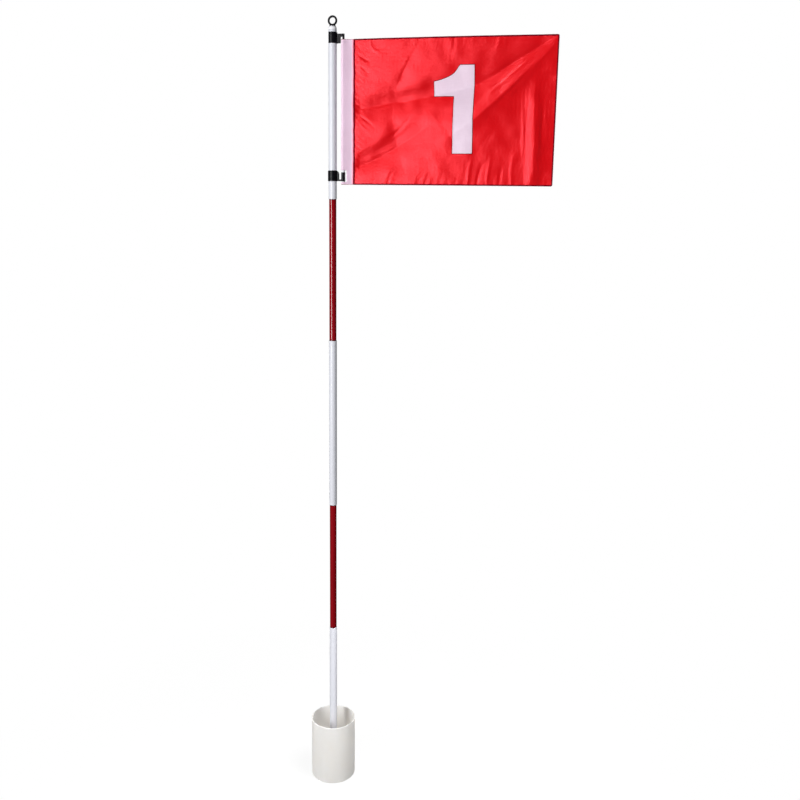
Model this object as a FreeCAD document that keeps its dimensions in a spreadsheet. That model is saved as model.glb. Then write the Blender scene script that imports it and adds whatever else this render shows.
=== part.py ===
import FreeCAD, Part
import math
import os

import Sketcher

# Golf flagstick: five plug-together tubes standing in a plastic hole cup, with a flag on two clips.
# Millimetres. The origin is the centre of the cup's bottom face, +Z runs up the stick and
# +X points from the stick towards the flag's free edge.

os.makedirs("parts", exist_ok=True)
doc = FreeCAD.newDocument("golf_flagstick")
sheet = doc.addObject("Spreadsheet::Sheet", "dims")

DRIVING_DIMENSIONS = {
    # hole cup
    "cup_radius": 54.0,
    "cup_height": 152.4,
    "cup_wall": 2.0,
    "cup_floor": 3.0,
    "cup_corner": 3.0,
    "cup_base_chamfer": 1.5,
    "hub_foot_radius": 16.0,
    "hub_top_radius": 12.0,
    "hub_height": 36.0,
    "hub_ledge": 8.0,
    "hub_drain_radius": 4.5,
    "rib_count": 6,
    "rib_thickness": 2.4,
    "rib_inner_height": 24.0,
    "rib_outer_height": 12.0,
    "drain_radius": 7.0,
    "drain_pitch_radius": 34.0,
    # bush in the hub and ferrule on the stick's foot
    "bush_radius": 9.0,
    "bush_bore_radius": 6.05,
    "bush_flange_radius": 11.0,
    "bush_flange": 2.0,
    "bush_lead_in": 0.8,
    "tip_radius": 6.0,
    "tip_end_radius": 3.5,
    "tip_taper": 4.0,
    "tip_length": 28.0,
    "foot_collar": 8.0,
    "foot_spigot": 30.0,
    # stick tubes: red tubes plug into white ones
    "white_outer_radius": 9.0,
    "white_inner_radius": 8.05,
    "red_outer_radius": 8.0,
    "red_inner_radius": 6.8,
    "tube_edge": 0.4,
    "plug_depth": 38.0,
    "stop_length": 10.0,
    "stop_bore_radius": 5.0,
    "lower_white_length": 350.0,
    "red_shown_length": 316.0,
    "middle_white_length": 394.0,
    "top_white_length": 352.0,
    # cap and eye
    "cap_plug": 18.0,
    "cap_brim": 3.2,
    "cap_rise": 7.4,
    "cap_crown_radius": 7.0,
    "cap_dome_radius": 7.0,
    "shank_radius": 2.5,
    "shank_length": 14.0,
    "eye_foot_radius": 6.8,
    "eye_foot_edge": 1.4,
    "eye_foot_height": 3.4,
    "eye_neck_radius": 4.0,
    "eye_centre_height": 11.2,
    "eye_major_radius": 8.4,
    "eye_minor_radius": 2.2,
    "eye_hole_radius": 6.5,
    # clips
    "clip_inner_radius": 9.05,
    "clip_outer_radius": 10.4,
    "clip_height": 22.5,
    "clip_mouth_angle": 100.0,
    "clip_edge": 0.35,
    "clip_below_tube_end": 27.5,
    "plate_thickness": 3.2,
    "plate_root": 9.65,
    "upper_plate_reach": 17.9,
    "upper_plate_corner": 1.6,
    "arm_bottom": 13.5,
    "arm_top": 19.5,
    "leg_radius": 2.4,
    "leg_bottom": 6.9,
    "leg_round": 0.8,
    "peg_radius": 2.05,
    "peg_length": 12.0,
    "lower_clip_drop": 286.0,
    "lower_plate_reach": 14.7,
    "lower_plate_round": 8.6,
    "link_height": 4.0,
    "link_thickness": 2.4,
    "snap_inner_radius": 3.55,
    "snap_outer_radius": 4.7,
    "snap_height": 19.0,
    "snap_mouth_angle": 70.0,
    # flag
    "flag_axis": 24.2,
    "flag_height": 300.0,
    "flag_top_gap": 0.6,
    "flag_tube_radius": 3.5,
    "flag_tube_bore_radius": 2.1,
    "flag_tube_inset": 1.2,
    "sleeve_end": 48.0,
    "sleeve_meet": 32.0,
    "sleeve_ply": 0.5,
    "sleeve_slack": 0.9,
    "sleeve_leave_angle": 57.0,
    "panel_start": 41.0,
    "panel_end": 478.0,
    "panel_half_thickness": 0.4,
    "panel_gap": 0.05,
    "window_half_width": 6.0,
    "window_margin": 1.6,
    "binding_width": 3.0,
    "binding_overhang": 0.6,
    "binding_half_thickness": 0.75,
    "binding_start": 48.3,
    # numeral, heights measured from the flag's bottom edge
    "numeral_thickness": 0.3,
    "numeral_foot": 66.0,
    "numeral_head": 244.0,
    "numeral_stem_left": 265.6,
    "numeral_stem_right": 306.6,
    "numeral_head_left": 277.3,
    "numeral_arm_left": 222.8,
    "numeral_arm_bottom": 183.5,
    "numeral_arm_top": 212.0,
    "numeral_throat_radius": 61.5,
}

for row, (alias, number) in enumerate(DRIVING_DIMENSIONS.items(), start=1):
    sheet.set("A%d" % row, alias)
    sheet.set("B%d" % row, repr(number))
    sheet.setAlias("B%d" % row, alias)
doc.recompute()

# Heights up the stick, each worked out from the piece below it.
HUB_TOP = "(dims.hub_height + dims.bush_flange)"
TUBE_1_FOOT = "(%s + dims.foot_collar)" % HUB_TOP
JUNCTION_1 = "(%s + dims.lower_white_length)" % TUBE_1_FOOT
JUNCTION_2 = "(%s + dims.red_shown_length)" % JUNCTION_1
JUNCTION_3 = "(%s + dims.middle_white_length)" % JUNCTION_2
JUNCTION_4 = "(%s + dims.red_shown_length)" % JUNCTION_3
STICK_TOP = "(%s + dims.top_white_length)" % JUNCTION_4
RED_LENGTH = "(dims.red_shown_length + 2 * dims.plug_depth)"
UPPER_CLIP_FOOT = "(%s - dims.clip_below_tube_end)" % STICK_TOP
LOWER_CLIP_FOOT = "(%s - dims.lower_clip_drop)" % UPPER_CLIP_FOOT
FLAG_TOP = "(%s + dims.leg_bottom + dims.flag_top_gap)" % UPPER_CLIP_FOOT
FLAG_FOOT = "(%s - dims.flag_height)" % FLAG_TOP


def dim(alias):
    """The expression for one cell of the sheet."""
    return "dims.%s" % alias


def number_of(expression):
    """The present value of an expression, as a plain number."""
    return float(sheet.evalExpression(expression))


def new_body(label, height="0", across="0", depth="0"):
    """A named body whose placement is bound to the sheet."""
    body = doc.addObject("PartDesign::Body", label)
    body.Label = label
    body.setExpression("Placement.Base.x", across)
    body.setExpression("Placement.Base.y", depth)
    body.setExpression("Placement.Base.z", height)
    return body


def new_sketch(body, name, plane):
    """An empty sketch on one of the body's own origin planes."""
    sketch = body.newObject("Sketcher::SketchObject", name)
    origin_plane = [item for item in body.Origin.OriginFeatures if item.Role == plane][0]
    sketch.AttachmentSupport = [(origin_plane, "")]
    sketch.MapMode = "FlatFace"
    return sketch


def bind(sketch, kind, *where_and_expression):
    """Add a dimension to the sketch and bind it to an expression."""
    where = where_and_expression[:-1]
    expression = where_and_expression[-1]
    index = sketch.addConstraint(Sketcher.Constraint(kind, *where, number_of(expression)))
    sketch.setExpression("Constraints[%d]" % index, expression)


def arc_between(start, end, radius, turn):
    """The short arc from start to end: turn is +1 anticlockwise, -1 clockwise."""
    chord = end.sub(start)
    half = chord.Length / 2
    rise = math.sqrt(max(radius * radius - half * half, 0.0))
    sideways = FreeCAD.Vector(-chord.y, chord.x, 0).normalize()
    centre = start + chord * 0.5 + sideways * (rise * turn)
    first, last = (start, end) if turn > 0 else (end, start)
    from_angle = math.atan2(first.y - centre.y, first.x - centre.x)
    to_angle = math.atan2(last.y - centre.y, last.x - centre.x)
    circle = Part.Circle(centre, FreeCAD.Vector(0, 0, 1), radius)
    return Part.ArcOfCircle(circle, from_angle, to_angle)


def draw_outline(sketch, corners):
    """Draw a closed outline through corners and bind every corner and radius.

    A corner is (across, up). With two more items, (across, up, radius, turn), the stretch that
    arrives at it is an arc of that radius, anticlockwise for +1 and clockwise for -1.
    """
    places = [FreeCAD.Vector(number_of(c[0]), number_of(c[1]), 0) for c in corners]
    ends = []
    for i, corner in enumerate(corners):
        start = places[i - 1]
        end = places[i]
        if len(corner) == 2:
            index = sketch.addGeometry(Part.LineSegment(start, end))
            ends.append((index, 1, 2))
        else:
            radius, turn = corner[2], corner[3]
            index = sketch.addGeometry(arc_between(start, end, number_of(radius), turn))
            ends.append((index, 1, 2) if turn > 0 else (index, 2, 1))
    for i, (index, _, tail) in enumerate(ends):
        following, head, _ = ends[(i + 1) % len(ends)]
        sketch.addConstraint(Sketcher.Constraint("Coincident", index, tail, following, head))
    for corner, (index, _, tail) in zip(corners, ends):
        bind(sketch, "DistanceX", -1, 1, index, tail, corner[0])
        bind(sketch, "DistanceY", -1, 1, index, tail, corner[1])
        if len(corner) == 4:
            bind(sketch, "Radius", index, corner[2])


def draw_circle(sketch, across, up, radius):
    """Draw one circle with its centre and radius bound."""
    centre = FreeCAD.Vector(number_of(across), number_of(up), 0)
    circle = Part.Circle(centre, FreeCAD.Vector(0, 0, 1), number_of(radius))
    index = sketch.addGeometry(circle)
    bind(sketch, "DistanceX", -1, 1, index, 3, across)
    bind(sketch, "DistanceY", -1, 1, index, 3, up)
    bind(sketch, "Radius", index, radius)


def draw_axis(sketch, start, end):
    """Draw a construction line between two bound points, used as a turning axis."""
    places = [FreeCAD.Vector(number_of(p[0]), number_of(p[1]), 0) for p in (start, end)]
    index = sketch.addGeometry(Part.LineSegment(*places), True)
    for vertex, place in ((1, start), (2, end)):
        bind(sketch, "DistanceX", -1, 1, index, vertex, place[0])
        bind(sketch, "DistanceY", -1, 1, index, vertex, place[1])


def finish_feature(body, feature):
    """Recompute, and make the feature the body's tip."""
    body.Tip = feature
    doc.recompute()
    return feature


def revolve(body, sketch, axis="V_Axis", angle=None):
    """Turn the sketch round an axis: fully, or evenly to both sides by the given angle."""
    feature = body.newObject("PartDesign::Revolution", sketch.Name + "_turned")
    feature.Profile = sketch
    feature.ReferenceAxis = (sketch, [axis])
    feature.Angle = 360.0
    if angle is not None:
        feature.Midplane = True
        feature.setExpression("Angle", angle)
    return finish_feature(body, feature)


def pad(body, sketch, length, both_ways=False):
    """Raise the sketch by the length, along its normal or evenly to both sides."""
    feature = body.newObject("PartDesign::Pad", sketch.Name + "_raised")
    feature.Profile = sketch
    feature.Midplane = both_ways
    feature.setExpression("Length", length)
    return finish_feature(body, feature)


def pocket(body, sketch, length):
    """Cut the sketch through the body, evenly to both sides of its plane."""
    before = body.Shape.Volume
    feature = body.newObject("PartDesign::Pocket", sketch.Name + "_cut")
    feature.Profile = sketch
    feature.Midplane = True
    feature.setExpression("Length", length)
    finish_feature(body, feature)
    if body.Shape.Volume >= before:
        raise RuntimeError("%s cut nothing" % feature.Name)
    return feature


def repeat_round(body, feature, count):
    """Repeat a feature evenly round the body's Z axis."""
    pattern = body.newObject("PartDesign::PolarPattern", feature.Name + "_round")
    pattern.Originals = [feature]
    z_axis = [item for item in body.Origin.OriginFeatures if item.Role == "Z_Axis"][0]
    pattern.Axis = (z_axis, [""])
    pattern.Angle = 360.0
    pattern.setExpression("Occurrences", count)
    body.Tip = pattern
    doc.recompute()
    return pattern


def turned_body(label, corners, height="0"):
    """A body made by turning one outline round the Z axis."""
    body = new_body(label, height)
    sketch = new_sketch(body, label + "_profile", "XZ_Plane")
    draw_outline(sketch, corners)
    revolve(body, sketch)
    return body


def make_cup():
    """Straight thin-walled cup with a central hub, radial ribs and drain holes."""
    wall_inside = "(dims.cup_radius - dims.cup_wall)"
    rim_height = "(dims.cup_height - dims.cup_wall / 2)"
    body = turned_body("cup", [
        (dim("hub_drain_radius"), "0"),
        ("dims.cup_radius - dims.cup_base_chamfer", "0"),
        (dim("cup_radius"), dim("cup_base_chamfer")),
        (dim("cup_radius"), rim_height),
        ("dims.cup_radius - dims.cup_wall / 2", dim("cup_height"), "dims.cup_wall / 2", 1),
        (wall_inside, rim_height, "dims.cup_wall / 2", 1),
        (wall_inside, "dims.cup_floor + dims.cup_corner"),
        (wall_inside + " - dims.cup_corner", dim("cup_floor"), dim("cup_corner"), -1),
        (dim("hub_foot_radius"), dim("cup_floor")),
        (dim("hub_top_radius"), dim("hub_height")),
        (dim("bush_radius"), dim("hub_height")),
        (dim("bush_radius"), dim("hub_ledge")),
        (dim("hub_drain_radius"), dim("hub_ledge")),
    ])
    rib = new_sketch(body, "rib", "XZ_Plane")
    rib_root = "(dims.bush_radius + dims.rib_thickness / 2)"
    rib_tip = "(dims.cup_radius - dims.cup_wall / 2)"
    rib_base = "(dims.cup_floor / 2)"
    draw_outline(rib, [
        (rib_root, rib_base),
        (rib_tip, rib_base),
        (rib_tip, dim("rib_outer_height")),
        (rib_root, dim("rib_inner_height")),
    ])
    repeat_round(body, pad(body, rib, dim("rib_thickness"), both_ways=True), dim("rib_count"))
    drain = new_sketch(body, "drain", "XY_Plane")
    half_step = "(180 / dims.rib_count)"
    draw_circle(
        drain,
        "dims.drain_pitch_radius * cos(%s)" % half_step,
        "dims.drain_pitch_radius * sin(%s)" % half_step,
        dim("drain_radius"),
    )
    repeat_round(body, pocket(body, drain, "3 * dims.cup_floor"), dim("rib_count"))
    return body


def make_socket_ferrule():
    """Flanged metal bush pressed into the cup's hub."""
    length = "(dims.hub_height - dims.hub_ledge)"
    return turned_body("socket_ferrule", [
        (dim("bush_bore_radius"), "0"),
        (dim("bush_radius"), "0"),
        (dim("bush_radius"), length),
        (dim("bush_flange_radius"), length),
        (dim("bush_flange_radius"), length + " + dims.bush_flange"),
        ("dims.bush_bore_radius + dims.bush_lead_in", length + " + dims.bush_flange"),
        (dim("bush_bore_radius"), length + " + dims.bush_flange - dims.bush_lead_in"),
    ], height=dim("hub_ledge"))


def make_foot_ferrule():
    """Tapered tip, resting collar and spigot, measured from the collar's underside."""
    return turned_body("foot_ferrule", [
        ("0", "-dims.tip_length"),
        (dim("tip_end_radius"), "-dims.tip_length"),
        (dim("tip_radius"), "dims.tip_taper - dims.tip_length"),
        (dim("tip_radius"), "0"),
        (dim("white_outer_radius"), "0"),
        (dim("white_outer_radius"), dim("foot_collar")),
        (dim("white_inner_radius"), dim("foot_collar")),
        (dim("white_inner_radius"), "dims.foot_collar + dims.foot_spigot"),
        ("0", "dims.foot_collar + dims.foot_spigot"),
    ], height=HUB_TOP)


def make_tube(label, finish, length, foot):
    """One tube, white or red, with its outer ends broken."""
    outer = dim(finish + "_outer_radius")
    inner = dim(finish + "_inner_radius")
    return turned_body(label, [
        (inner, "0"),
        (outer + " - dims.tube_edge", "0"),
        (outer, dim("tube_edge")),
        (outer, length + " - dims.tube_edge"),
        (outer + " - dims.tube_edge", length),
        (inner, length),
    ], height=foot)


def make_stop_bush(label, foot):
    """A short ring glued inside a white tube, where the red tube bottoms."""
    return turned_body(label, [
        (dim("stop_bore_radius"), "0"),
        (dim("white_inner_radius"), "0"),
        (dim("white_inner_radius"), dim("stop_length")),
        (dim("stop_bore_radius"), dim("stop_length")),
    ], height=foot)


def make_top_cap():
    """Plug, brim and low dome, bored for the eye's shank."""
    return turned_body("top_cap", [
        (dim("shank_radius"), "-dims.cap_plug"),
        (dim("white_inner_radius"), "-dims.cap_plug"),
        (dim("white_inner_radius"), "0"),
        (dim("white_outer_radius"), "0"),
        (dim("white_outer_radius"), dim("cap_brim")),
        (dim("cap_crown_radius"), dim("cap_rise"), dim("cap_dome_radius"), 1),
        (dim("shank_radius"), dim("cap_rise")),
    ], height=STICK_TOP)


def make_eye_ring():
    """Round foot with a shank, carrying an upright ring with a short flat land in its hole."""
    body = turned_body("eye_ring", [
        ("0", "-dims.shank_length"),
        (dim("shank_radius"), "-dims.shank_length"),
        (dim("shank_radius"), "0"),
        (dim("eye_foot_radius"), "0"),
        (dim("eye_foot_radius"), dim("eye_foot_edge")),
        (dim("eye_neck_radius"), dim("eye_foot_height")),
        ("0", dim("eye_foot_height")),
    ], height=STICK_TOP + " + dims.cap_rise")
    ring = new_sketch(body, "eye_section", "YZ_Plane")
    land_rise = "(dims.eye_major_radius - dims.eye_hole_radius)"
    half_land = "sqrt(dims.eye_minor_radius ^ 2 - %s ^ 2)" % land_rise
    land_height = "(dims.eye_centre_height + dims.eye_hole_radius)"
    crest = "(dims.eye_centre_height + dims.eye_major_radius + dims.eye_minor_radius)"
    draw_outline(ring, [
        (half_land, land_height),
        ("0", crest, dim("eye_minor_radius"), 1),
        ("-" + half_land, land_height, dim("eye_minor_radius"), 1),
    ])
    draw_axis(
        ring,
        ("-dims.eye_minor_radius", dim("eye_centre_height")),
        (dim("eye_minor_radius"), dim("eye_centre_height")),
    )
    revolve(body, ring, axis="Axis0")
    return body


def add_split_ring(body, name, axis, side, inner, outer, tall, mouth, top_edge):
    """An upright ring round a vertical axis, split by a mouth on the side away from side."""
    ring = new_sketch(body, name, "XZ_Plane")
    near = "(%s + (%d) * %s)" % (axis, side, inner)
    far = "(%s + (%d) * %s)" % (axis, side, outer)
    near_top = "(%s + (%d) * (%s + %s))" % (axis, side, inner, top_edge)
    far_top = "(%s + (%d) * (%s - %s))" % (axis, side, outer, top_edge)
    draw_outline(ring, [
        (near, "0"),
        (far, "0"),
        (far, "%s - %s" % (tall, top_edge)),
        (far_top, tall, top_edge, side),
        (near_top, tall),
        (near, "%s - %s" % (tall, top_edge), top_edge, side),
    ])
    draw_axis(ring, (axis, "0"), (axis, tall))
    revolve(body, ring, axis="Axis0", angle="360 - " + mouth)


def make_upper_clip():
    """Snap ring with a plate, an arm over the flag's corner, a leg and a peg in the flag tube."""
    body = new_body("upper_clip", UPPER_CLIP_FOOT)
    add_split_ring(
        body, "upper_ring", "0", 1, dim("clip_inner_radius"), dim("clip_outer_radius"),
        dim("clip_height"), dim("clip_mouth_angle"), dim("clip_edge"),
    )
    plate = new_sketch(body, "upper_plate", "XZ_Plane")
    draw_outline(plate, [
        (dim("plate_root"), dim("clip_edge")),
        (dim("upper_plate_reach"), dim("clip_edge")),
        (dim("upper_plate_reach"), "dims.arm_bottom - dims.upper_plate_corner"),
        ("dims.upper_plate_reach + dims.upper_plate_corner", dim("arm_bottom"),
         dim("upper_plate_corner"), -1),
        (dim("flag_axis"), dim("arm_bottom")),
        (dim("flag_axis"), dim("arm_top")),
        (dim("plate_root"), dim("arm_top")),
    ])
    pad(body, plate, dim("plate_thickness"), both_ways=True)
    leg = new_sketch(body, "leg_and_peg", "XZ_Plane")
    leg_side = "(dims.flag_axis + dims.leg_radius)"
    peg_side = "(dims.flag_axis + dims.peg_radius)"
    draw_outline(leg, [
        (dim("flag_axis"), "dims.leg_bottom - dims.peg_length"),
        (peg_side, "dims.leg_bottom - dims.peg_length"),
        (peg_side, dim("leg_bottom")),
        (leg_side, dim("leg_bottom")),
        (leg_side, "dims.arm_top - dims.leg_round"),
        (leg_side + " - dims.leg_round", dim("arm_top"), dim("leg_round"), 1),
        (dim("flag_axis"), dim("arm_top")),
    ])
    draw_axis(leg, (dim("flag_axis"), "0"), (dim("flag_axis"), dim("arm_top")))
    revolve(body, leg, axis="Axis0")
    return body


def make_lower_clip():
    """Collar with a round-cornered plate, a low link and a small snap ring on the flag tube."""
    body = new_body("lower_clip", LOWER_CLIP_FOOT)
    collar = new_sketch(body, "collar", "XZ_Plane")
    draw_outline(collar, [
        (dim("clip_inner_radius"), "0"),
        (dim("clip_outer_radius"), "0"),
        (dim("clip_outer_radius"), "dims.clip_height - dims.clip_edge"),
        ("dims.clip_outer_radius - dims.clip_edge", dim("clip_height"), dim("clip_edge"), 1),
        (dim("clip_inner_radius"), dim("clip_height")),
    ])
    revolve(body, collar)
    plate = new_sketch(body, "lower_plate", "XZ_Plane")
    draw_outline(plate, [
        (dim("plate_root"), dim("clip_edge")),
        (dim("lower_plate_reach"), dim("clip_edge")),
        (dim("lower_plate_reach"), "dims.clip_height - dims.lower_plate_round"),
        ("dims.plate_root + dims.clip_edge", "dims.clip_height - dims.clip_edge",
         dim("lower_plate_round"), 1),
        (dim("plate_root"), "dims.clip_height - dims.clip_edge"),
    ])
    pad(body, plate, dim("plate_thickness"), both_ways=True)
    add_split_ring(
        body, "snap_ring", dim("flag_axis"), -1, dim("snap_inner_radius"), dim("snap_outer_radius"),
        dim("snap_height"), dim("snap_mouth_angle"), dim("clip_edge"),
    )
    link = new_sketch(body, "link", "XZ_Plane")
    link_start = "(dims.lower_plate_reach - dims.clip_edge)"
    link_end = "(dims.flag_axis - (dims.snap_inner_radius + dims.snap_outer_radius) / 2)"
    draw_outline(link, [
        (link_start, dim("clip_edge")),
        (link_end, dim("clip_edge")),
        (link_end, dim("link_height")),
        (link_start, dim("link_height")),
    ])
    pad(body, link, dim("link_thickness"), both_ways=True)
    return body


def make_flag_tube():
    """Slim tube inside the hoist sleeve; the upper clip's peg turns in its bore."""
    body = new_body("flag_tube", FLAG_FOOT + " + dims.flag_tube_inset", across=dim("flag_axis"))
    sketch = new_sketch(body, "flag_tube_section", "XY_Plane")
    draw_circle(sketch, "0", "0", dim("flag_tube_radius"))
    draw_circle(sketch, "0", "0", dim("flag_tube_bore_radius"))
    pad(body, sketch, "dims.flag_height - dims.flag_tube_inset - 1.5 * dims.flag_top_gap")
    return body


def make_hoist_sleeve():
    """White cloth folded round the flag tube, its two plies running on either side of the panel."""
    body = new_body("hoist_sleeve", FLAG_FOOT, across=dim("flag_axis"))
    inner_radius = "(dims.flag_tube_radius + dims.sleeve_slack)"
    outer_radius = "(%s + dims.sleeve_ply)" % inner_radius
    inner_half = "(dims.panel_half_thickness + dims.panel_gap)"
    outer_half = "(%s + dims.sleeve_ply)" % inner_half
    end = "(dims.sleeve_end - dims.flag_axis)"
    meet = "(dims.sleeve_meet - dims.flag_axis)"
    leave_across = "cos(dims.sleeve_leave_angle)"
    leave_up = "sin(dims.sleeve_leave_angle)"
    section = new_sketch(body, "sleeve_section", "XY_Plane")
    draw_outline(section, [
        (end, outer_half),
        (meet, outer_half),
        ("%s * %s" % (outer_radius, leave_across), "%s * %s" % (outer_radius, leave_up)),
        ("-" + outer_radius, "0", outer_radius, 1),
        ("%s * %s" % (outer_radius, leave_across), "-%s * %s" % (outer_radius, leave_up),
         outer_radius, 1),
        (meet, "-" + outer_half),
        (end, "-" + outer_half),
        (end, "-" + inner_half),
        (meet, "-" + inner_half),
        ("%s * %s" % (inner_radius, leave_across), "-%s * %s" % (inner_radius, leave_up)),
        ("-" + inner_radius, "0", inner_radius, -1),
        ("%s * %s" % (inner_radius, leave_across), "%s * %s" % (inner_radius, leave_up),
         inner_radius, -1),
        (meet, inner_half),
        (end, inner_half),
    ])
    pad(body, section, dim("flag_height"))
    window = new_sketch(body, "sleeve_window", "XZ_Plane")
    window_foot = "(%s - %s - dims.window_margin)" % (LOWER_CLIP_FOOT, FLAG_FOOT)
    window_head = "(%s - %s + dims.clip_height + dims.window_margin)" % (LOWER_CLIP_FOOT, FLAG_FOOT)
    draw_outline(window, [
        ("-dims.window_half_width", window_foot),
        (dim("window_half_width"), window_foot),
        (dim("window_half_width"), window_head),
        ("-dims.window_half_width", window_head),
    ])
    pocket(body, window, "4 * " + outer_radius)
    return body


def add_rectangle(body, name, left, right, bottom, top):
    """A rectangle drawn on the flag's own plane."""
    sketch = new_sketch(body, name, "XZ_Plane")
    draw_outline(sketch, [(left, bottom), (right, bottom), (right, top), (left, top)])
    return sketch


def make_flag_panel():
    """The flat cloth panel, its hoist edge sewn between the sleeve's plies."""
    body = new_body("flag_panel", FLAG_FOOT)
    panel = add_rectangle(
        body, "panel", dim("panel_start"), dim("panel_end"), "0", dim("flag_height"),
    )
    pad(body, panel, "2 * dims.panel_half_thickness", both_ways=True)
    return body


def make_edge_binding():
    """Overlocked edge: a thin channel along the panel's top, free and bottom edges."""
    body = new_body("edge_binding", FLAG_FOOT)
    frame = new_sketch(body, "binding_frame", "XZ_Plane")
    outer_end = "(dims.panel_end + dims.binding_overhang)"
    inner_end = "(dims.panel_end - dims.binding_width)"
    outer_top = "(dims.flag_height + dims.binding_overhang)"
    inner_top = "(dims.flag_height - dims.binding_width)"
    draw_outline(frame, [
        (dim("binding_start"), "-dims.binding_overhang"),
        (outer_end, "-dims.binding_overhang"),
        (outer_end, outer_top),
        (dim("binding_start"), outer_top),
        (dim("binding_start"), inner_top),
        (inner_end, inner_top),
        (inner_end, dim("binding_width")),
        (dim("binding_start"), dim("binding_width")),
    ])
    pad(body, frame, "2 * dims.binding_half_thickness", both_ways=True)
    groove = add_rectangle(
        body, "binding_groove", dim("panel_start"), dim("panel_end"), "0", dim("flag_height"),
    )
    pocket(body, groove, "2 * dims.panel_half_thickness")
    return body


def make_numeral(label, depth):
    """A cloth figure one, laid flat on one face of the panel."""
    body = new_body(label, FLAG_FOOT, depth=depth)
    figure = new_sketch(body, label + "_outline", "XZ_Plane")
    draw_outline(figure, [
        (dim("numeral_stem_left"), dim("numeral_foot")),
        (dim("numeral_stem_right"), dim("numeral_foot")),
        (dim("numeral_stem_right"), dim("numeral_head")),
        (dim("numeral_head_left"), dim("numeral_head")),
        (dim("numeral_arm_left"), dim("numeral_arm_top"), dim("numeral_throat_radius"), -1),
        (dim("numeral_arm_left"), dim("numeral_arm_bottom")),
        (dim("numeral_stem_left"), dim("numeral_arm_bottom")),
    ])
    pad(body, figure, dim("numeral_thickness"))
    return body


def check_and_write(bodies):
    """Stop on any failed object or bad solid, then write one file per sub-part."""
    for item in doc.Objects:
        if "Invalid" in item.State or "Error" in item.State:
            raise RuntimeError("%s did not recompute" % item.Name)
    for body in bodies:
        shape = body.Shape
        if shape.isNull() or not shape.isValid() or len(shape.Solids) != 1:
            raise RuntimeError("%s is not one valid solid" % body.Label)
        shape.exportStep("parts/%s.step" % body.Label)
        size = shape.BoundBox
        print("%-15s %9.1f mm3  z %7.1f to %7.1f" % (body.Label, shape.Volume, size.ZMin, size.ZMax))


parts = [
    make_cup(),
    make_socket_ferrule(),
    make_foot_ferrule(),
    make_tube("tube_1", "white", dim("lower_white_length"), TUBE_1_FOOT),
    make_tube("tube_2", "red", RED_LENGTH, JUNCTION_1 + " - dims.plug_depth"),
    make_tube("tube_3", "white", dim("middle_white_length"), JUNCTION_2),
    make_tube("tube_4", "red", RED_LENGTH, JUNCTION_3 + " - dims.plug_depth"),
    make_tube("tube_5", "white", dim("top_white_length"), JUNCTION_4),
    make_stop_bush("stop_bush_1", JUNCTION_1 + " - dims.plug_depth - dims.stop_length"),
    make_stop_bush("stop_bush_2", JUNCTION_2 + " + dims.plug_depth"),
    make_stop_bush("stop_bush_3", JUNCTION_3 + " - dims.plug_depth - dims.stop_length"),
    make_stop_bush("stop_bush_4", JUNCTION_4 + " + dims.plug_depth"),
    make_top_cap(),
    make_eye_ring(),
    make_upper_clip(),
    make_lower_clip(),
    make_flag_tube(),
    make_hoist_sleeve(),
    make_flag_panel(),
    make_edge_binding(),
    make_numeral("numeral_front", "-dims.panel_half_thickness"),
    make_numeral("numeral_back", "dims.panel_half_thickness + dims.numeral_thickness"),
]
doc.recompute()
check_and_write(parts)
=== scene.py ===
import math

import bpy
import numpy as np
from mathutils import Matrix, Vector
from mathutils.geometry import delaunay_2d_cdt


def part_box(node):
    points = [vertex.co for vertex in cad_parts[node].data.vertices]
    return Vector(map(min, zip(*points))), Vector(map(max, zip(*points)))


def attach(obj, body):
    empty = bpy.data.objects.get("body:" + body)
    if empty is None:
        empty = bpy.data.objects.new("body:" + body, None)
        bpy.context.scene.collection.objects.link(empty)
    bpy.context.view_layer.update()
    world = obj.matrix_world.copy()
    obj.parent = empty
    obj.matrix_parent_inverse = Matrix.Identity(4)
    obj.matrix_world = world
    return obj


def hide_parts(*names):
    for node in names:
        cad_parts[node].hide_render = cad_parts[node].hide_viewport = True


# Looks of the golf flagstick. Metres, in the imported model's frame: +Z up the stick, +X towards the
# flag's free edge, and the viewer on the -Y side of the flag.

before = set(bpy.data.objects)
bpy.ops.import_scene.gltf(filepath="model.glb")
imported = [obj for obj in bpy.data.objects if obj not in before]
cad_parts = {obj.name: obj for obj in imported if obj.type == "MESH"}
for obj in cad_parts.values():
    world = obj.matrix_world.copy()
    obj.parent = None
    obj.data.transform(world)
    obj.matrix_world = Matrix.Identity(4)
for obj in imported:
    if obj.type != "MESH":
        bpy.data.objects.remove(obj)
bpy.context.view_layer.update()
MM = 0.001

PANEL_LOW, PANEL_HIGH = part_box("flag_panel")
FLAG_TUBE_LOW, FLAG_TUBE_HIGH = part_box("flag_tube")
LOWER_CLIP_LOW, LOWER_CLIP_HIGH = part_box("lower_clip")
NUMERAL_LOW, NUMERAL_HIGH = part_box("numeral_front")

FLAG_LEFT = PANEL_LOW.x
FLAG_RIGHT = PANEL_HIGH.x
FLAG_BOTTOM = PANEL_LOW.z
FLAG_TOP = PANEL_HIGH.z
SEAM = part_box("hoist_sleeve")[1].x
FLAG_AXIS = (FLAG_TUBE_LOW.x + FLAG_TUBE_HIGH.x) / 2
CLOTH_HALF = PANEL_HIGH.y

rng = np.random.default_rng(18)


# ---------------------------------------------------------------- shader helpers

def shader(name):
    """A new node material with a Principled surface; returns the material, its tree and the surface."""
    material = bpy.data.materials.new(name)
    material.use_nodes = True
    tree = material.node_tree
    return material, tree, tree.nodes["Principled BSDF"]


def add(tree, kind, settings=None, **inputs):
    """Add a node, set its options, and set or link its inputs by name."""
    node = tree.nodes.new(kind)
    for key, value in (settings or {}).items():
        setattr(node, key, value)
    feed(tree, node, **inputs)
    return node


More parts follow.
